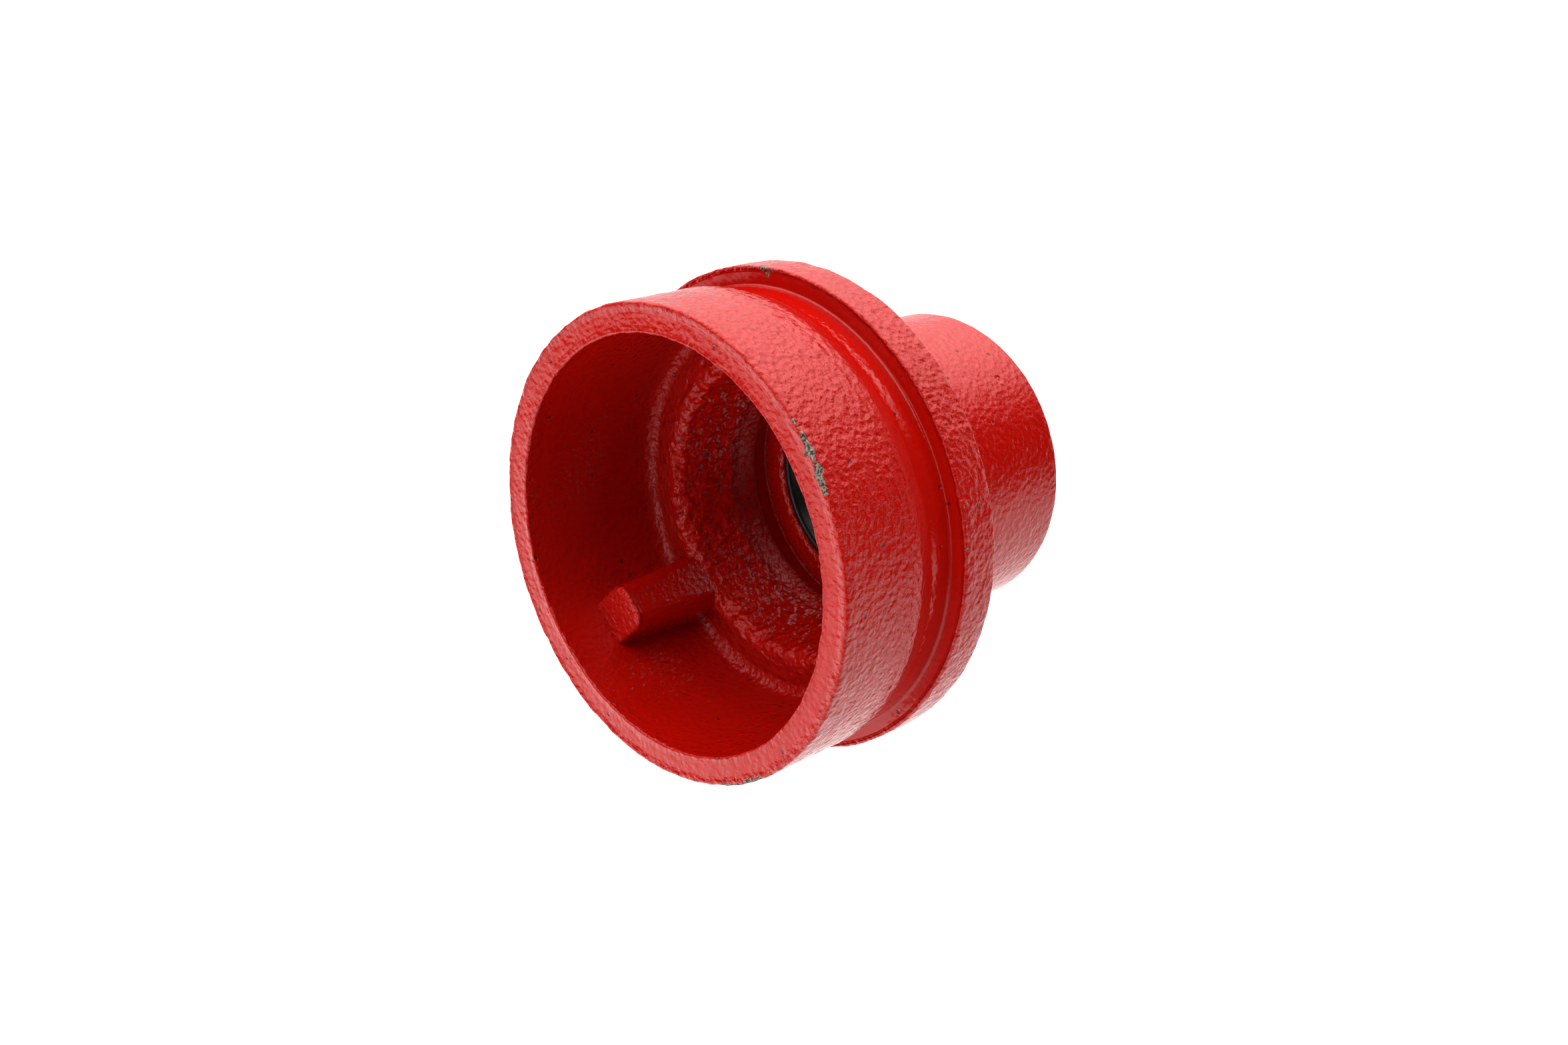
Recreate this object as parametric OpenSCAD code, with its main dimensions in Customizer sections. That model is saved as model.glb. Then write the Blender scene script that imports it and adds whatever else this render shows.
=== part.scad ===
// Grooved reducing fitting: a wide grooved pipe end that steps down to a
// short neck with a female pipe thread. It stands on the end of its neck,
// with the grooved mouth up. Origin: centre of the neck's end face, +Z up.

/* [Grooved end] */
// Outside diameter of the grooved end, a 2 1/2 inch pipe size
pipe_d = 76.1; // [75.6:0.1:76.6]
// Length of the gasket seat, from the mouth to the groove
seat_len = 15.9; // [14:0.1:18]
// Width of the groove
groove_w = 8.15; // [7.5:0.05:9]
// Diameter of the groove's floor
groove_d = 74.0; // [72:0.1:75]
// Length of the taper that leads from the seat down into the groove
taper_len = 3.5; // [2:0.1:4]
// Fillet between the groove's floor and the flange
groove_fillet = 0.5; // [0.3:0.1:1.4]
// Inside diameter of the bowl behind the mouth
bowl_d = 66.6; // [62:0.1:67.4]
// Rounding of the mouth's outer and inner edge
mouth_round = 0.5; // [0.3:0.1:1.2]

/* [Flange] */
// Diameter of the flange behind the groove
flange_d = 80.1; // [78:0.1:84]
// Thickness of the flange
flange_t = 6.95; // [6:0.05:9]
// Rounding of the flange's rims
flange_round = 0.4; // [0.3:0.1:0.9]

/* [Neck] */
// Height of the whole fitting, from the neck's end to the mouth
total_h = 67; // [62:0.5:75]
// Outside diameter of the neck
neck_d = 51.9; // [50:0.1:54]
// Fillet where the neck meets the flange
neck_fillet = 2.0; // [1:0.25:3]
// Rounding of the neck's outer edge at its end
neck_round = 0.8; // [0.4:0.1:1.2]

/* [Inside] */
// Depth of the bowl, from the mouth to the lowest ring of its floor
bowl_depth = 27.5; // [26:0.1:28]
// Fillet between the bowl's wall and its floor
bowl_fillet = 2.0; // [1.5:0.1:3]
// Diameter of the raised lip between the bowl's floor and the funnel
lip_d = 52.6; // [51:0.2:54]
// Height of that lip above the floor
lip_rise = 1.4; // [0.8:0.1:1.8]
// Rounding of the lip
lip_round = 2.2; // [1.6:0.1:2.4]
// Diameter of the throat below the funnel
throat_d = 44.1; // [42:0.1:46]
// Depth of the funnel's lower edge, from the mouth
funnel_depth = 36.4; // [34:0.1:38]
// Height of the undercut at the throat's foot
undercut_h = 2.4; // [1.5:0.1:3]
// Depth of that undercut, measured on the radius
undercut_d = 1.1; // [0.5:0.1:1.5]
// Depth of the web that closes the throat down, from the mouth
web_depth = 46; // [44:0.1:48]
// Thickness of the web
web_t = 2.5; // [2:0.1:3]
// Diameter of the hole in the web
web_hole_d = 36.8; // [36:0.1:38]

/* [Neck thread, 1 1/4 inch female] */
// Bore of the thread, its minor diameter
thread_minor_d = 38.95; // [38.5:0.05:39.5]
// Width of the countersink at the thread's mouth
thread_mouth_d = 43.2; // [42:0.1:44]
// Diameter of the relief that holds the seal's flange
relief_d = 41.2; // [40.4:0.1:42]
// Length of that relief
relief_len = 3.0; // [2.5:0.1:4]

/* [Neck seal] */
// Inside diameter of the rubber seal
seal_bore_d = 34.3; // [33.5:0.1:35]
// Clearance round the seal
seal_gap = 0.05; // [0.02:0.01:0.1]

/* [Stop lug] */
// Width of the lug across the bowl, at its top
lug_w = 8.2; // [7:0.1:9]
// Draft of the lug's sides, the width that each gains from top to foot
lug_draft = 1.2; // [0:0.1:1.5]
// Distance of the lug's inner face from the axis
lug_inner = 24.7; // [24.5:0.1:25.5]
// Depth of the lug's top, from the mouth
lug_depth = 9.3; // [8:0.1:14]
// Rounding of the lug's inner corners
lug_round = 2.6; // [1:0.1:3]

/* [Hidden] */

$fn = 96;
paint = "crimson";
rubber = "dimgray";

pipe_r = pipe_d / 2;
groove_r = groove_d / 2;
bowl_r = bowl_d / 2;
flange_r = flange_d / 2;
neck_r = neck_d / 2;
lip_r = lip_d / 2;
throat_r = throat_d / 2;
web_hole_r = web_hole_d / 2;
minor_r = thread_minor_d / 2;
relief_r = relief_d / 2;
seal_bore_r = seal_bore_d / 2;

// heights above the neck's end face
seat_z = total_h - seat_len;
flange_top_z = seat_z - groove_w;
flange_base_z = flange_top_z - flange_t;
floor_z = total_h - bowl_depth;
lip_z = floor_z + lip_rise;
funnel_z = total_h - funnel_depth;
web_z = total_h - web_depth;
web_base_z = web_z - web_t;
relief_base_z = web_base_z - relief_len;
lug_top_z = total_h - lug_depth;

arc_steps = 6;
mouth_cone = thread_mouth_d / 2 - minor_r;
// small broken edges
edge_break = 0.3;

// points of an arc about (x, z), from angle a to angle b
function arc(x, z, r, a, b) =
    [for (i = [0:arc_steps]) let (t = a + (b - a) * i / arc_steps) [x + r * cos(t), z + r * sin(t)]];

// outside of the casting, from the neck's end up to the mouth
outer_line = concat(
    arc(neck_r - neck_round, neck_round, neck_round, -90, 0),
    arc(neck_r + neck_fillet, flange_base_z - neck_fillet, neck_fillet, 180, 90),
    arc(flange_r - flange_round, flange_base_z + flange_round, flange_round, -90, 0),
    arc(flange_r - flange_round, flange_top_z - flange_round, flange_round, 0, 90),
    arc(groove_r + groove_fillet, flange_top_z + groove_fillet, groove_fillet, 270, 180),
    [[groove_r, seat_z - taper_len]],
    [[pipe_r, seat_z]],
    arc(pipe_r - mouth_round, total_h - mouth_round, mouth_round, 0, 90)
);

// inside of the casting, from the mouth down to the neck's end
inner_line = concat(
    arc(bowl_r + mouth_round, total_h - mouth_round, mouth_round, 90, 180),
    arc(bowl_r - bowl_fillet, floor_z + bowl_fillet, bowl_fillet, 0, -90),
    arc(lip_r, lip_z - lip_round, lip_round, 50, 166),
    [[throat_r, funnel_z]],
    [[throat_r, web_z + undercut_h + undercut_d]],
    [[throat_r + undercut_d, web_z + undercut_h]],
    [[throat_r + undercut_d, web_z + edge_break]],
    [[throat_r + undercut_d - edge_break, web_z]],
    [[web_hole_r, web_z]],
    [[web_hole_r, web_base_z]],
    [[relief_r, web_base_z]],
    [[relief_r, relief_base_z + (relief_r - minor_r)]],
    [[minor_r, relief_base_z]],
    [[minor_r, mouth_cone]],
    [[minor_r + mouth_cone, 0]]
);

// how far the lug's back and foot run into the wall and the floor
lug_root = 1;
// thickness of the level slices that the lug is hulled from
slice_t = 0.1;

// a level slice of the lug at a height: square at the wall, rounded at the inner corners
module lug_slice(z, w, inset = 0) {
    half_w = w / 2 - inset;
    corner_y = lug_inner + inset + lug_round;
    translate([0, 0, z]) linear_extrude(slice_t) {
        translate([-half_w, corner_y]) square([2 * half_w, bowl_r + lug_root - corner_y]);
        for (side = [-1, 1])
            translate([side * (half_w - lug_round), corner_y]) circle(r = lug_round, $fn = 32);
    }
}

// the drafted lug on the bowl's wall, with its top edge broken
module lug() {
    hull() {
        lug_slice(floor_z - lug_root, lug_w + 2 * lug_draft);
        lug_slice(lug_top_z - edge_break - slice_t, lug_w);
        lug_slice(lug_top_z - slice_t, lug_w, edge_break);
    }
}

// the one-piece iron casting: mouth, groove, flange, bowl, lug, throat and neck
module body_casting() {
    color(paint) {
        rotate_extrude($fn = 180) polygon(concat(outer_line, inner_line));
        lug();
    }
}

// the black rubber ring: a sleeve through the web's hole and a flange behind it
module neck_seal() {
    lip = 0.5;
    // the foot of the flange's rim, just above the cone that ends the relief
    rim_z = relief_base_z + relief_r - minor_r + 2 * seal_gap;
    color(rubber)
    rotate_extrude($fn = 180) polygon(concat(
        arc(web_hole_r - seal_gap - lip, web_z - lip, lip, 0, 90),
        arc(seal_bore_r + lip, web_z - lip, lip, 90, 180),
        [[seal_bore_r, relief_base_z + 0.2]],
        [[minor_r - 0.3, relief_base_z + 0.2]],
        [[relief_r - seal_gap, rim_z]],
        [[relief_r - seal_gap, web_base_z - seal_gap]],
        [[web_hole_r - seal_gap, web_base_z - seal_gap]]
    ));
}

body_casting();
neck_seal();
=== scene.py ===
import math
import bmesh
import bpy
from mathutils import Matrix, Vector, noise


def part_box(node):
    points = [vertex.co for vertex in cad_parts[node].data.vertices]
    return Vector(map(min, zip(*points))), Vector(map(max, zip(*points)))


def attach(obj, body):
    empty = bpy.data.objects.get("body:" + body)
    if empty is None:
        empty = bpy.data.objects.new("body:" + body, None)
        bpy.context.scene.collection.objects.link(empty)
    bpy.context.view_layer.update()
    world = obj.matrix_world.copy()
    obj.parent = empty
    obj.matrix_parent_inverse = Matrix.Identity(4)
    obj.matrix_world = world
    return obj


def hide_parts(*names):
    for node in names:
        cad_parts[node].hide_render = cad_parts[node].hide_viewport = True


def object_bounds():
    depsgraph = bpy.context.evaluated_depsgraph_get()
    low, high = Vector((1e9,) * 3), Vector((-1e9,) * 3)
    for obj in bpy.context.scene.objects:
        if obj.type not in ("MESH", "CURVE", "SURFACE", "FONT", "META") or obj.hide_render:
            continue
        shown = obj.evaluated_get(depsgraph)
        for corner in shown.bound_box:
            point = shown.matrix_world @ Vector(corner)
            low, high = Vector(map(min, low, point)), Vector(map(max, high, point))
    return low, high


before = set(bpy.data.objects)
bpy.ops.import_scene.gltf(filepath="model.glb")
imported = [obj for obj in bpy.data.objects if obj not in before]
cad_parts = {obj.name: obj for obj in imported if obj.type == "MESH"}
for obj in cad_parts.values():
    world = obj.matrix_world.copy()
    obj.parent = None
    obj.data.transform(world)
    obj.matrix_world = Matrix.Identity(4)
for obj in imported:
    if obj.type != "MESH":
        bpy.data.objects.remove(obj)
cad_low, cad_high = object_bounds()


# ---- The casting ------------------------------------------------------------
# One sand-cast iron body, turned only where the groove is cut and the neck is
# tapped. It carries the grooved mouth, the flange, the bowl with its stop lug,
# the funnel and the neck. Sizes are millimetres, up from the neck's end face.

casting_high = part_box("body_casting")[1]
total_height = casting_high.z * 1000
flange_radius = casting_high.x * 1000
mouth_radius = 38.05
groove_radius = 37.0
bowl_radius = 33.3
neck_radius = 25.95
lip_radius = 26.3
throat_radius = 22.05
web_hole_radius = 18.4
relief_radius = 20.6
thread_minor_radius = 19.475
thread_depth = 1.48
thread_pitch = 25.4 / 11
thread_mouth = 2.125
undercut = 1.1
undercut_height = 2.4
seal_gap = 0.05

seat_height = total_height - 15.9
flange_top = seat_height - 8.15
flange_base = flange_top - 6.95
bowl_floor = total_height - 27.5
funnel_foot = total_height - 36.4
web_top = total_height - 46
web_base = web_top - 2.5
relief_base = web_base - 3

# how far, in millimetres, the sand's print stands in or out on each kind of face
MACHINED, SMOOTH, FAIR, ROUGH, RAGGED, LUMPY = 0, 0.02, 0.06, 0.12, 0.15, 0.3


def arc(middle, up, bend, start, end, grain, steps=4):
    """Points of a rounded corner, each with how rough the sand left it."""
    turns = [math.radians(start + (end - start) * i / steps) for i in range(steps + 1)]
    return [(middle + bend * math.cos(t), up + bend * math.sin(t), grain) for t in turns]


def closely_spaced(line):
    """The same closed line in short steps, the shortest on machined faces."""
    close = []
    for (r0, z0, g0), (r1, z1, g1) in zip(line, line[1:] + line[:1]):
        gap = 0.3 if g0 == MACHINED else 0.6 if max(g0, g1) == LUMPY else 1.0
        count = max(1, math.ceil(math.hypot(r1 - r0, z1 - z0) / gap))
        for i in range(count):
            t = i / count
            close.append((r0 + (r1 - r0) * t, z0 + (z1 - z0) * t, g0 + (g1 - g0) * t))
    return close


outside_line = (
    arc(neck_radius - 0.8, 0.8, 0.8, -90, 0, FAIR)
    + [(neck_radius, 3, FAIR)]
    + arc(neck_radius + 2, flange_base - 2, 2, 180, 90, FAIR)
    + arc(flange_radius - 0.4, flange_base + 0.4, 0.4, -90, 0, RAGGED)
    + arc(flange_radius - 0.4, flange_top - 0.4, 0.4, 0, 90, RAGGED)
    + [(flange_radius - 1, flange_top, SMOOTH)]
    + arc(groove_radius + 0.5, flange_top + 0.5, 0.5, 270, 180, SMOOTH)
    + [(groove_radius, seat_height - 3.5, SMOOTH), (mouth_radius, seat_height, FAIR)]
    + [(mouth_radius, seat_height + 2, ROUGH)]
    + [(mouth_radius, total_height - 3, ROUGH)]
    + arc(mouth_radius - 0.5, total_height - 0.5, 0.5, 0, 90, RAGGED)
)
inside_line = (
    [(mouth_radius - 1.6, total_height, FAIR), (bowl_radius + 1.2, total_height, FAIR)]
    + arc(bowl_radius + 0.35, total_height - 0.35, 0.35, 90, 180, ROUGH)
    + [(bowl_radius, total_height - 3, FAIR)]
    + arc(bowl_radius - 2, bowl_floor + 2, 2, 0, -90, ROUGH)
    + arc(lip_radius, bowl_floor - 0.8, 2.2, 50, 166, LUMPY)
    + [(throat_radius, funnel_foot, LUMPY), (throat_radius, funnel_foot - 2, ROUGH)]
    + [(throat_radius, web_top + undercut_height + undercut, ROUGH)]
    + [(throat_radius + undercut, web_top + undercut_height, FAIR)]
    + [(throat_radius + undercut, web_top + 0.3, FAIR), (throat_radius + undercut - 0.3, web_top, FAIR)]
    + [(web_hole_radius + 0.5, web_top, RAGGED), (web_hole_radius + 0.1, web_top - 0.4, RAGGED)]
    + [(web_hole_radius + 0.1, web_base, SMOOTH), (relief_radius, web_base, MACHINED)]
)
thread_line = [
    (relief_radius, relief_base + relief_radius - thread_minor_radius, MACHINED),
    (thread_minor_radius, relief_base, MACHINED),
    (thread_minor_radius, thread_mouth, MACHINED),
    (thread_minor_radius + thread_mouth, 0, FAIR),
]

casting_mesh = bmesh.new()
grain_of = casting_mesh.verts.layers.float.new("grain")
ring = []
for radius, up, grain in closely_spaced(outside_line + inside_line + thread_line):
    point = casting_mesh.verts.new((radius, 0, up))
    point[grain_of] = grain
    ring.append(point)
for here, after in zip(ring, ring[1:] + ring[:1]):
    casting_mesh.edges.new((here, after))
bmesh.ops.spin(
    casting_mesh,
    geom=casting_mesh.verts[:] + casting_mesh.edges[:],
    cent=(0, 0, 0),
    axis=(0, 0, 1),
    dvec=(0, 0, 0),
    angle=math.tau,
    steps=320,
    use_merge=True,
)
bmesh.ops.recalc_face_normals(casting_mesh, faces=casting_mesh.faces[:])

# the stop lug stands on the bowl's wall, cast in one with it: a block that
# narrows upwards by the mould's draft and runs into the wall and the floor
lug_inner = 24.7
lug_width = 8.2
lug_draft = 1.2
lug_round = 2.6
lug_top = total_height - 9.3
lug_mesh = bmesh.new()
bmesh.ops.create_cube(lug_mesh, size=1)
for point in lug_mesh.verts:
    at_top = point.co.z > 0
    half_width = lug_width / 2 if at_top else lug_width / 2 + lug_draft
    depth = bowl_radius + 1 if point.co.y > 0 else lug_inner
    point.co = Vector((math.copysign(half_width, point.co.x), depth, lug_top if at_top else bowl_floor - 1))
inner_corners = [
    edge for edge in lug_mesh.edges
    if all(v.co.y < lug_inner + 0.1 for v in edge.verts)
    and abs(edge.verts[0].co.z - edge.verts[1].co.z) > 1
]
bmesh.ops.bevel(
    lug_mesh, geom=inner_corners, offset=lug_round, segments=6, profile=0.5, affect="EDGES", material=-1
)
top_edges = [edge for edge in lug_mesh.edges if all(v.co.z > lug_top - 0.01 for v in edge.verts)]
bmesh.ops.bevel(
    lug_mesh, geom=top_edges, offset=0.6, segments=3, profile=0.5, affect="EDGES", material=-1
)
bmesh.ops.triangulate(lug_mesh, faces=lug_mesh.faces[:])
for _ in range(5):
    long_edges = [edge for edge in lug_mesh.edges if edge.calc_length() > 1]
    bmesh.ops.subdivide_edges(lug_mesh, edges=long_edges, cuts=1)
    bmesh.ops.triangulate(lug_mesh, faces=lug_mesh.faces[:])
lug_data = bpy.data.meshes.new("lug")
lug_mesh.to_mesh(lug_data)
lug_mesh.free()
turned_points = len(casting_mesh.verts)
casting_mesh.from_mesh(lug_data)
bpy.data.meshes.remove(lug_data)
grain_of = casting_mesh.verts.layers.float["grain"]
for point in casting_mesh.verts[turned_points:]:
    point[grain_of] = ROUGH if point.co.z > lug_top - 0.7 else FAIR
casting_mesh.normal_update()


def sand_print(place):
    """Height of the mould's sand at a place, from about -1 to 1: broad swells and finer grains."""
    swell = noise.noise(place * 0.22)
    lump = noise.noise(place * 0.5 + Vector((7, 3, 1)))
    pock = noise.noise(place * 1.05 + Vector((2, 9, 4)))
    return 0.5 * swell + 0.9 * lump + 0.35 * pock


# the same coordinates serve every point before any is moved
shifts = [
    point.normal * (point[grain_of] * sand_print(point.co)) if point[grain_of] else Vector()
    for point in casting_mesh.verts
]
for point, shift in zip(casting_mesh.verts, shifts):
    point.co += shift


def thread_cut(place):
    """How deep the tap cut at a place: a 55 degree V that winds round the bore."""
    turn = math.atan2(place.y, place.x) / math.tau
    phase = (place.z / thread_pitch - turn) % 1
    vee = 1 - abs(2 * phase - 1)
    cut = min(1, max(0, (vee - 0.1) / 0.8))
    run_in = min(1, max(0, (relief_base + 0.6 - place.z) / 0.8))
    return thread_depth * cut * run_in


for point in casting_mesh.verts:
    across = math.hypot(point.co.x, point.co.y)
    in_mouth = point.co.z < thread_mouth
    if point[grain_of] == MACHINED and point.co.z < relief_base and across < relief_radius:
        flank = thread_minor_radius + thread_cut(point.co)
        reach = max(flank, across) if in_mouth else flank
        point.co.x *= reach / across
        point.co.y *= reach / across

# where the paint is worn through: edge radius, edge height, then the bare
# stretches as middle angle, half width in degrees and how far it has gone
worn_edges = [
    (mouth_radius, total_height, [(-97, 15, 0.97), (-61, 2, 0.8), (163, 12, 0.85)]),
    (flange_radius, flange_top, [(-38, 8, 0.7), (-151, 9, 0.6), (-126, 4, 0.5), (95, 12, 0.7)]),
    (flange_radius, flange_base, [(-87, 6, 0.5), (30, 10, 0.7), (170, 8, 0.6)]),
    (bowl_radius, total_height, [(-1, 3, 0.5), (20, 8, 0.6), (149, 3, 0.6), (-140, 6, 0.4)]),
    (neck_radius, 0, [(10, 15, 0.7), (-120, 12, 0.8), (120, 8, 0.6)]),
]
wear_of = casting_mesh.verts.layers.float.new("wear")
for point in casting_mesh.verts:
    across = math.hypot(point.co.x, point.co.y)
    bearing = math.degrees(math.atan2(point.co.y, point.co.x))
    worn = 0
    for edge_radius, edge_height, stretches in worn_edges:
        off_edge = math.hypot(across - edge_radius, point.co.z - edge_height)
        if off_edge > 3:
            continue
        near = max(0, 1 - off_edge / 2.6)
        for middle, half_width, strength in stretches:
            turned = abs((bearing - middle + 180) % 360 - 180)
            along = max(0, 1 - (turned / half_width) ** 4)
            worn = max(worn, near * along * strength)
        worn = max(worn, 0.32 * near)
    point[wear_of] = worn

for face in casting_mesh.faces:
    face.smooth = True
    middle = face.calc_center_median()
    # the neck's bore gets the dark tapped iron, whose near-black colour is partly painted shade
    in_neck = middle.z < web_base + 0.1 and math.hypot(middle.x, middle.y) < relief_radius + 1.4
    face.material_index = 1 if in_neck else 0
bmesh.ops.scale(casting_mesh, vec=(0.001, 0.001, 0.001), verts=casting_mesh.verts[:])


def finished_piece(name, mesh, *materials):
    """Turns a modelled mesh into a piece of the object, with its finishes."""
    data = bpy.data.meshes.new(name)
    mesh.to_mesh(data)
    mesh.free()
    piece = bpy.data.objects.new(name, data)
    bpy.context.collection.objects.link(piece)
    for material in materials:
        data.materials.append(material)
    return piece


class Nodes:
    """A short way to add nodes to a tree and join them up."""

    def __init__(self, tree):
        self.tree = tree

    def add(self, kind, settings=None, **inputs):
        made = self.tree.nodes.new(kind)
        for key, value in (settings or {}).items():
            setattr(made, key, value)
        for key, value in inputs.items():
            self.feed(made.inputs[key.replace("_", " ")], value)
        return made

    def feed(self, socket, value):
        if isinstance(value, bpy.types.NodeSocket):
            self.tree.links.new(value, socket)
        else:
            socket.default_value = value

    def sum(self, operation, *values, clamp=False):
        made = self.tree.nodes.new("ShaderNodeMath")
        made.operation = operation
        made.use_clamp = clamp
        for socket, value in zip(made.inputs, values):
            self.feed(socket, value)
        return made.outputs[0]

    def spread(self, value, low, high, to_low=0.0, to_high=1.0):
        made = self.tree.nodes.new("ShaderNodeMapRange")
        made.interpolation_type = "SMOOTHSTEP"
        for socket, given in zip(made.inputs, (value, low, high, to_low, to_high)):
            self.feed(socket, given)
        return made.outputs[0]

    def tint(self, amount, first, second):
        made = self.tree.nodes.new("ShaderNodeMix")
        made.data_type = "RGBA"
        self.feed(made.inputs[0], amount)
        self.feed(made.inputs[6], first)
        self.feed(made.inputs[7], second)
        return made.outputs[2]


def new_group(name, inputs, outputs):
    """An empty shader node group with named number sockets."""
    tree = bpy.data.node_groups.new(name, "ShaderNodeTree")
    for label, start in inputs:
        socket = tree.interface.new_socket(label, in_out="INPUT", socket_type="NodeSocketFloat")
        socket.default_value = start
    for label in outputs:
        tree.interface.new_socket(label, in_out="OUTPUT", socket_type="NodeSocketFloat")
    return tree, tree.nodes.new("NodeGroupInput"), tree.nodes.new("NodeGroupOutput")


# the print of the sand under thick gloss paint, in metres of relief, and the
# pinholes that the paint didn't fill
sand_skin, skin_in, skin_out = new_group(
    "sand_skin", [("Grain", 0.1), ("Pinholes", 0.5)], ["Height", "Pits", "Tone"]
)
n = Nodes(sand_skin)
where = n.add("ShaderNodeTexCoord").outputs["Object"]
lumps = n.add("ShaderNodeTexNoise", Vector=where, Scale=560.0, Detail=1.0, Roughness=0.4)
hammered = n.add("ShaderNodeTexVoronoi", {"feature": "SMOOTH_F1"}, Vector=where, Scale=980.0, Smoothness=0.6)
grains = n.add("ShaderNodeTexNoise", Vector=where, Scale=1500.0, Detail=3.0, Roughness=0.55)
blotches = n.add("ShaderNodeTexNoise", Vector=where, Scale=110.0, Detail=3.0, Roughness=0.5)
pits = n.add("ShaderNodeTexVoronoi", Vector=where, Scale=420.0, Randomness=1.0)
pit_here = n.spread(pits.outputs["Distance"], 0.08, 0.2, 1.0, 0.0)
pit_kept = n.spread(n.add("ShaderNodeSeparateColor", Color=pits.outputs["Color"]).outputs[0], 0.84, 0.87)
pit_mask = n.sum("MULTIPLY", n.sum("MULTIPLY", pit_here, pit_kept), skin_in.outputs["Pinholes"])
light_grain = n.sum("MINIMUM", skin_in.outputs["Grain"], 0.13)
heavy_grain = n.sum("MAXIMUM", n.sum("SUBTRACT", skin_in.outputs["Grain"], 0.1), 0.0)
dents = n.sum("MULTIPLY", hammered.outputs["Distance"], 0.002)
fine = n.sum("MULTIPLY", grains.outputs["Fac"], 0.0021)
skin_relief = n.sum("MULTIPLY", n.sum("ADD", dents, fine), light_grain)
lump_relief = n.sum("MULTIPLY", n.sum("MULTIPLY", lumps.outputs["Fac"], 0.0056), heavy_grain)
print_depth = n.sum("ADD", skin_relief, lump_relief)

# one blister in the paint near the neck's end, a pit with two beads of paint
# in it: bearing in degrees, then height, radius and relief in millimetres
blister = [(-85.6, 7.1, 1.0, -0.3), (-85.4, 7.1, 0.38, 0.3), (-87.9, 6.95, 0.38, 0.3)]
for bearing, up, reach, relief in blister:
    turn = math.radians(bearing)
    spot = Vector((neck_radius * math.cos(turn), neck_radius * math.sin(turn), up)) / 1000
    off_spot = n.add("ShaderNodeVectorMath", {"operation": "DISTANCE"})
    n.feed(off_spot.inputs[0], where)
    off_spot.inputs[1].default_value = spot
    swelling = n.spread(off_spot.outputs["Value"], 0, reach / 1000, relief / 1000, 0)
    print_depth = n.sum("ADD", print_depth, swelling)
n.feed(skin_out.inputs["Height"], n.sum("SUBTRACT", print_depth, n.sum("MULTIPLY", pit_mask, 0.00012)))
n.feed(skin_out.inputs["Pits"], pit_mask)
n.feed(skin_out.inputs["Tone"], blotches.outputs["Fac"])

# paint knocked off an edge: the wear painted on the mesh decides where, and a
# gritty noise breaks it into flakes
edge_chips, chips_in, chips_out = new_group("edge_chips", [("Wear", 0.0)], ["Bare"])
n = Nodes(edge_chips)
where = n.add("ShaderNodeTexCoord").outputs["Object"]
flakes = n.add("ShaderNodeTexNoise", Vector=where, Scale=640.0, Detail=6.0, Roughness=0.6)
islands = n.add("ShaderNodeTexNoise", Vector=where, Scale=300.0, Detail=1.0, Roughness=0.5)
flake_part = n.sum("MULTIPLY", flakes.outputs["Fac"], 0.52)
island_part = n.sum("MULTIPLY", islands.outputs["Fac"], 0.48)
grit = n.sum("ADD", flake_part, island_part)
tipped = n.sum("ADD", grit, n.sum("MULTIPLY", chips_in.outputs["Wear"], 0.42))
n.feed(chips_out.inputs["Bare"], n.spread(tipped, 0.80, 0.815))


def place_group(n, tree, **values):
    """Puts a node group into a material and sets its inputs by name."""
    made = n.tree.nodes.new("ShaderNodeGroup")
    made.node_tree = tree
    for label, value in values.items():
        n.feed(made.inputs[label.replace("_", " ")], value)
    return made


def red_paint():
    """Thick glossy red paint over cast iron, worn through to the iron where it is chipped."""
    material = bpy.data.materials.new("casting_paint")
    material.use_nodes = True
    n = Nodes(material.node_tree)
    shader = material.node_tree.nodes["Principled BSDF"]
    grain = n.add("ShaderNodeAttribute", {"attribute_name": "grain"}).outputs["Fac"]
    skin = place_group(n, sand_skin, Grain=grain, Pinholes=0.8)
    wear = n.add("ShaderNodeAttribute", {"attribute_name": "wear"}).outputs["Fac"]
    bare = place_group(n, edge_chips, Wear=wear).outputs["Bare"]
    paint = n.tint(skin.outputs["Tone"], (0.47, 0.005, 0.002, 1), (0.55, 0.008, 0.002, 1))
    paint = n.tint(skin.outputs["Pits"], paint, (0.09, 0.006, 0.004, 1))
    iron_grain = n.add("ShaderNodeTexNoise", Scale=2600.0, Detail=2.0, Roughness=0.7)
    n.feed(iron_grain.inputs["Vector"], n.add("ShaderNodeTexCoord").outputs["Object"])
    grit = n.spread(iron_grain.outputs["Fac"], 0.4, 0.62)
    iron = n.tint(grit, (0.045, 0.034, 0.026, 1), (0.40, 0.34, 0.27, 1))
    n.feed(shader.inputs["Base Color"], n.tint(bare, paint, iron))
    n.feed(shader.inputs["Roughness"], n.spread(bare, 0, 1, 0.08, 0.5))
    n.feed(shader.inputs["Metallic"], n.sum("MULTIPLY", bare, 0.35))
    shader.inputs["IOR"].default_value = 1.5
    chip_relief = n.sum("MULTIPLY", n.sum("SUBTRACT", n.sum("MULTIPLY", grit, 0.5), 1.0), bare)
    height = n.sum("ADD", skin.outputs["Height"], n.sum("MULTIPLY", chip_relief, 0.00012))
    bump = n.add("ShaderNodeBump", Strength=1.0, Distance=1.0, Height=height)
    n.feed(shader.inputs["Normal"], bump.outputs["Normal"])
    return material


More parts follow.
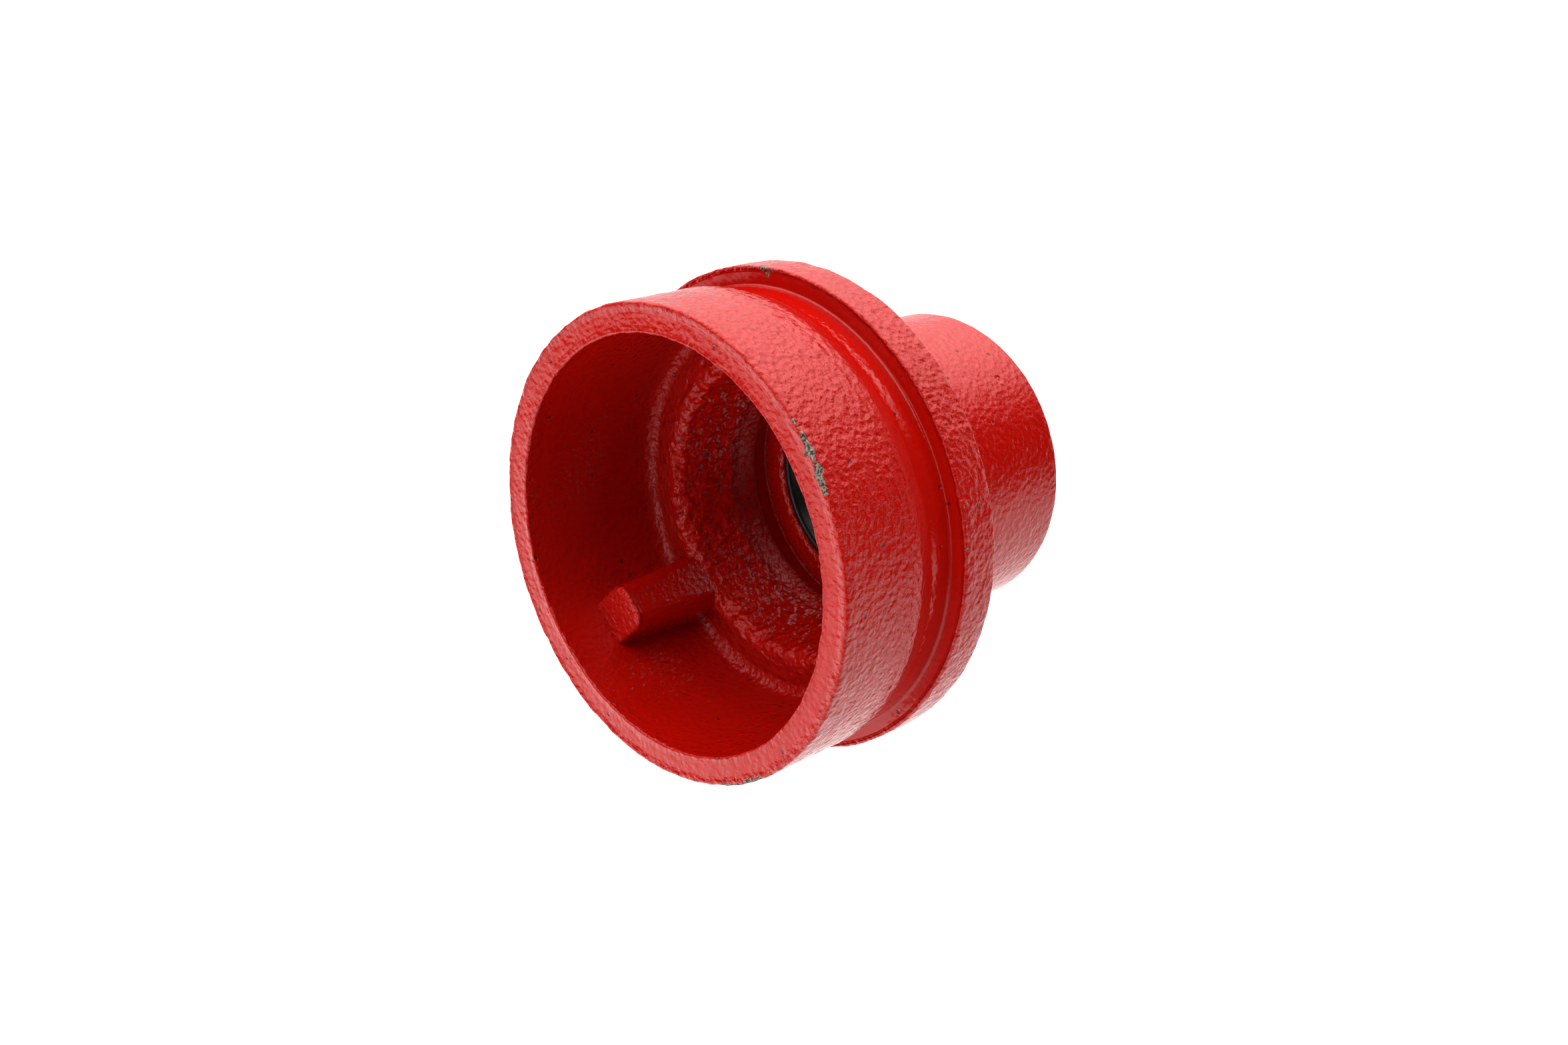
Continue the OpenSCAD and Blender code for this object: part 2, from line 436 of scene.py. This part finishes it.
def tapped_iron_and_painted_shade():
    """Bare iron left dark and oily by the tap, with fine turning marks round the bore; its near-black colour
    is partly that oily iron and partly painted shade for the deep, unlit bore.
    """
    material = bpy.data.materials.new("tapped_iron_and_painted_shade")
    material.use_nodes = True
    n = Nodes(material.node_tree)
    shader = material.node_tree.nodes["Principled BSDF"]
    where = n.add("ShaderNodeTexCoord").outputs["Object"]
    stretch = n.add("ShaderNodeMapping", Vector=where, Scale=(1.0, 1.0, 9.0))
    marks = n.add("ShaderNodeTexNoise", Vector=stretch.outputs[0], Scale=500.0, Detail=3.0, Roughness=0.6)
    stain = n.add("ShaderNodeTexNoise", Vector=where, Scale=160.0, Detail=3.0, Roughness=0.6)
    # near-black tints: partly the oiled iron's own colour, partly painted shade that keeps the bore black
    iron = n.tint(stain.outputs["Fac"], (0.012, 0.011, 0.01, 1), (0.035, 0.032, 0.03, 1))
    n.feed(shader.inputs["Base Color"], iron)
    n.feed(shader.inputs["Roughness"], n.spread(marks.outputs["Fac"], 0.3, 0.7, 0.3, 0.5))
    shader.inputs["Metallic"].default_value = 0.3
    bump = n.add("ShaderNodeBump", Strength=1.0, Distance=0.00004, Height=marks.outputs["Fac"])
    n.feed(shader.inputs["Normal"], bump.outputs["Normal"])
    return material


casting = finished_piece("casting", casting_mesh, red_paint(), tapped_iron_and_painted_shade())
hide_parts("body_casting")
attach(casting, "root")


# ---- The neck seal ----------------------------------------------------------
# A moulded black rubber ring. Its sleeve fills the hole in the web and shows as
# a narrow rounded edge, and its flange is trapped in the relief behind the web.

seal_low, seal_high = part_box("neck_seal")
seal_top = seal_high.z * 1000
seal_base = seal_low.z * 1000
seal_bore = 17.15
seal_flange = seal_high.x * 1000
seal_rim = relief_base + relief_radius - thread_minor_radius + 2 * seal_gap
sleeve_radius = web_hole_radius - seal_gap
sleeve_round = (sleeve_radius - seal_bore) / 2 - 0.05
seal_line = (
    arc(sleeve_radius - sleeve_round, seal_top - sleeve_round, sleeve_round, 0, 90, FAIR)
    + arc(seal_bore + sleeve_round, seal_top - sleeve_round, sleeve_round, 90, 180, FAIR)
    + [(seal_bore, seal_base, FAIR), (thread_minor_radius - 0.3, seal_base, FAIR)]
    + [(seal_flange, seal_rim, FAIR), (seal_flange, web_base - seal_gap, FAIR)]
    + [(sleeve_radius, web_base - seal_gap, FAIR)]
)
seal_mesh = bmesh.new()
seal_ring = [seal_mesh.verts.new((radius, 0, up)) for radius, up, _ in closely_spaced(seal_line)]
for here, after in zip(seal_ring, seal_ring[1:] + seal_ring[:1]):
    seal_mesh.edges.new((here, after))
bmesh.ops.spin(
    seal_mesh,
    geom=seal_mesh.verts[:] + seal_mesh.edges[:],
    cent=(0, 0, 0),
    axis=(0, 0, 1),
    dvec=(0, 0, 0),
    angle=math.tau,
    steps=192,
    use_merge=True,
)
bmesh.ops.recalc_face_normals(seal_mesh, faces=seal_mesh.faces[:])
bmesh.ops.scale(seal_mesh, vec=(0.001, 0.001, 0.001), verts=seal_mesh.verts[:])
for face in seal_mesh.faces:
    face.smooth = True


def black_rubber():
    """Moulded black rubber with a faint bloom and a fine grain from the mould."""
    material = bpy.data.materials.new("black_rubber")
    material.use_nodes = True
    n = Nodes(material.node_tree)
    shader = material.node_tree.nodes["Principled BSDF"]
    where = n.add("ShaderNodeTexCoord").outputs["Object"]
    bloom = n.add("ShaderNodeTexNoise", Vector=where, Scale=260.0, Detail=4.0, Roughness=0.6)
    grain = n.add("ShaderNodeTexNoise", Vector=where, Scale=2200.0, Detail=2.0, Roughness=0.6)
    dust = n.spread(bloom.outputs["Fac"], 0.42, 0.72)
    n.feed(shader.inputs["Base Color"], n.tint(dust, (0.008, 0.008, 0.008, 1), (0.02, 0.02, 0.02, 1)))
    n.feed(shader.inputs["Roughness"], n.spread(dust, 0, 1, 0.38, 0.58))
    bump = n.add("ShaderNodeBump", Strength=1.0, Distance=0.00002, Height=grain.outputs["Fac"])
    n.feed(shader.inputs["Normal"], bump.outputs["Normal"])
    return material


seal = finished_piece("seal", seal_mesh, black_rubber())
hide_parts("neck_seal")
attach(seal, "root")


# ---- Floor, light and camera ------------------------------------------------
# A plain white floor under the neck's end. The fitting is seen as if it lay on
# its side, so the bright ceiling and the dark horizon are tilted with the view.

camera_azimuth = math.radians(-15.5)
camera_elevation = math.radians(42.85)
camera_roll = math.radians(-108.9)
camera_place = Vector((-0.05665, -0.19623, 0.23045))

back = Vector((
    math.sin(camera_azimuth) * math.cos(camera_elevation),
    -math.cos(camera_azimuth) * math.cos(camera_elevation),
    math.sin(camera_elevation),
))
level_right = Vector((math.cos(camera_azimuth), math.sin(camera_azimuth), 0))
level_up = back.cross(level_right)
view_right = level_right * math.cos(camera_roll) + level_up * math.sin(camera_roll)
view_up = back.cross(view_right)

camera_data = bpy.data.cameras.new("camera")
camera_data.sensor_width = 36
camera_data.lens = 39.23
camera_data.clip_start = 0.01
camera_data.clip_end = 20
camera = bpy.data.objects.new("camera", camera_data)
bpy.context.collection.objects.link(camera)
turned = Matrix((view_right, view_up, back)).transposed()
camera.matrix_world = Matrix.Translation(camera_place) @ turned.to_4x4()
bpy.context.scene.camera = camera

floor_data = bpy.data.meshes.new("floor")
floor_mesh = bmesh.new()
bmesh.ops.create_grid(floor_mesh, x_segments=1, y_segments=1, size=3)
floor_mesh.to_mesh(floor_data)
floor_mesh.free()
floor = bpy.data.objects.new("floor", floor_data)
floor.location.z = cad_low.z - 0.0001
bpy.context.collection.objects.link(floor)
floor_paint = bpy.data.materials.new("floor_white")
floor_paint.use_nodes = True
floor_shader = floor_paint.node_tree.nodes["Principled BSDF"]
floor_shader.inputs["Base Color"].default_value = (0.92, 0.92, 0.92, 1)
floor_shader.inputs["Roughness"].default_value = 0.9
floor_shader.inputs["Specular IOR Level"].default_value = 0.1
floor_shader.inputs["Emission Color"].default_value = (1, 1, 1, 1)
floor_shader.inputs["Emission Strength"].default_value = 1.5
floor_data.materials.append(floor_paint)
floor.visible_glossy = False
floor.visible_diffuse = False
floor.visible_shadow = False

studio_up = (view_up * 0.975 + back * 0.222).normalized()
studio = bpy.data.worlds.new("studio")
studio.use_nodes = True
bpy.context.scene.world = studio
tree = studio.node_tree
n = Nodes(tree)
toward = n.add("ShaderNodeTexCoord").outputs["Generated"]


def lean(direction):
    """How far a ray leans towards a direction, from -1 to 1."""
    made = n.add("ShaderNodeVectorMath", {"operation": "DOT_PRODUCT"})
    tree.links.new(toward, made.inputs[0])
    made.inputs[1].default_value = direction
    return made.outputs["Value"]


# a bright ceiling, a white table that is dimmer towards the front, some light
# from behind, and a soft lamp straight out from the mouth
rise = lean(studio_up)
forward = lean(back)
ceiling = n.spread(rise, 0.42, 0.76, 0.0, 2.4)
table = n.spread(rise, -0.32, -0.04, 1.0, 0.0)
table = n.sum("MULTIPLY", table, n.spread(lean(view_right), -0.9, 0.3, 1.8, 1.2))
table = n.sum("MULTIPLY", table, n.spread(forward, 0.1, 0.6, 1.0, 0.18))
near_table = n.spread(rise, -0.65, -0.45, 1.2, 0.0)
far_wall = n.spread(forward, -0.6, -0.2, 0.9, 0.0)
mouth_way = Vector((0, 0, 1))
lamp = n.spread(lean(mouth_way), 0.9, 0.98, 0.0, 2.6)
darkest = 0.03
glow = darkest
for source in (ceiling, table, near_table, far_wall, lamp):
    glow = n.sum("MAXIMUM", source, glow)
seen = n.add("ShaderNodeLightPath").outputs["Is Camera Ray"]
unseen = n.sum("SUBTRACT", 1.0, seen)
strength = n.sum("ADD", seen, n.sum("MULTIPLY", unseen, glow))
backdrop = tree.nodes["Background"]
backdrop.inputs["Color"].default_value = (1, 1, 1, 1)
n.feed(backdrop.inputs["Strength"], strength)

# a little more contrast than a plain display curve
view_settings = bpy.context.scene.view_settings
view_settings.view_transform = "Standard"
view_settings.exposure = 0.22
view_settings.gamma = 0.833
